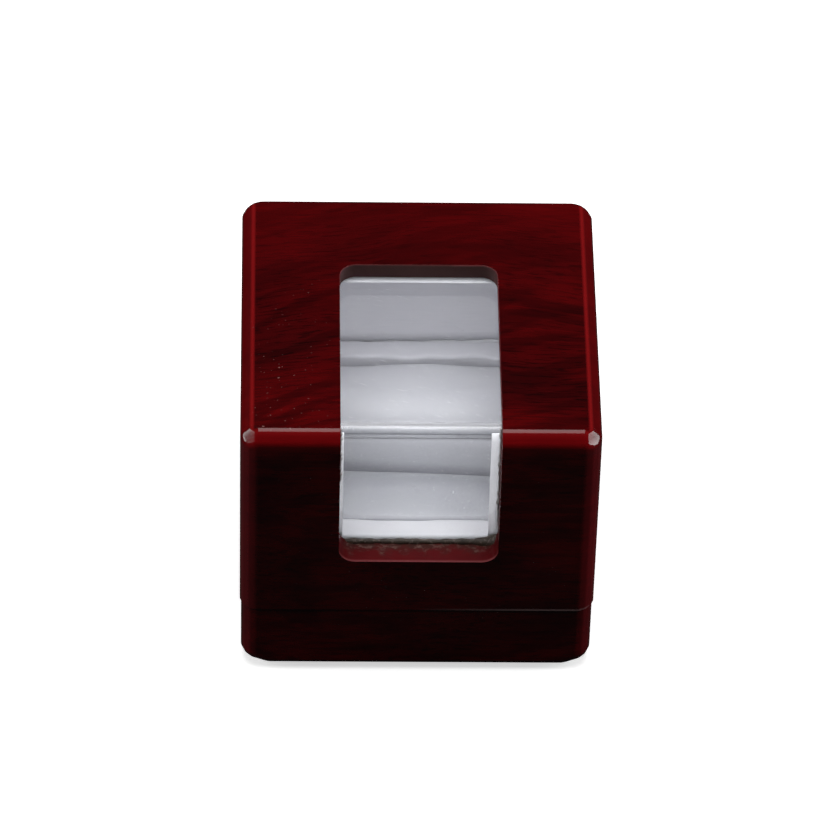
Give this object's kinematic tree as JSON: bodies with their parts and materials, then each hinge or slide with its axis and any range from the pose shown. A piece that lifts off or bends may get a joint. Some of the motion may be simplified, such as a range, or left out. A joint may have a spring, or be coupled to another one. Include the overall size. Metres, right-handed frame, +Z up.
{
  "type": "ring display box",
  "caption": "Lacquered wooden ring box with a rear-hinged lid, an L-shaped clear window over top and front, and a slotted satin ring cushion.",
  "frame": {"origin": "middle of the underside, on the felt that the box stands on", "axes": "+X to the box's right as seen from the front, +Y to the back where the hinges are, +Z up"},
  "size_m": [0.065, 0.0677, 0.06],
  "materials": {
    "lacquered_wood": "gloss lacquer over dark red stained grain",
    "clear_acrylic": "clear, polished",
    "satin": "white satin",
    "card": "grey card",
    "felt": "pressed felt",
    "brass": "polished",
    "steel": "brass-plated wire",
    "nickel": "nickel plate"
  },
  "bodies": {
    "base": {"base_front_wall": "lacquered_wood", "base_back_wall": "lacquered_wood", "base_left_wall": "lacquered_wood", "base_right_wall": "lacquered_wood", "base_floor": "lacquered_wood", "base_felt": "felt", "tray_board_front": "satin", "tray_board_back": "satin", "tray_board_left": "satin", "tray_board_right": "satin", "cushion_card": "card", "ring_cushion_front": "satin", "ring_cushion_back": "satin", "hinge_cloth": "satin", "base_magnets": "nickel", "hinge_base_leaf_left": "brass", "hinge_base_leaf_right": "brass", "hinge_pin_left": "steel", "hinge_pin_right": "steel", "base_hinge_screws": "brass"},
    "lid": {"lid_top_panel": "lacquered_wood", "lid_front_wall": "lacquered_wood", "lid_back_wall": "lacquered_wood", "lid_left_wall": "lacquered_wood", "lid_right_wall": "lacquered_wood", "window_pane": "clear_acrylic", "lining_top": "satin", "lining_front": "satin", "lining_back": "satin", "lining_left": "satin", "lining_right": "satin", "lid_magnets": "nickel", "hinge_lid_leaf_left": "brass", "hinge_lid_leaf_right": "brass", "lid_hinge_screws": "brass"}
  },
  "joints": [
    {"name": "lid_hinge", "type": "hinge", "parent": "base", "child": "lid", "pos_m": [0, 0.0339, 0.016], "axis": [-1, 0, 0], "range_deg": [0, 100]}
  ]
}
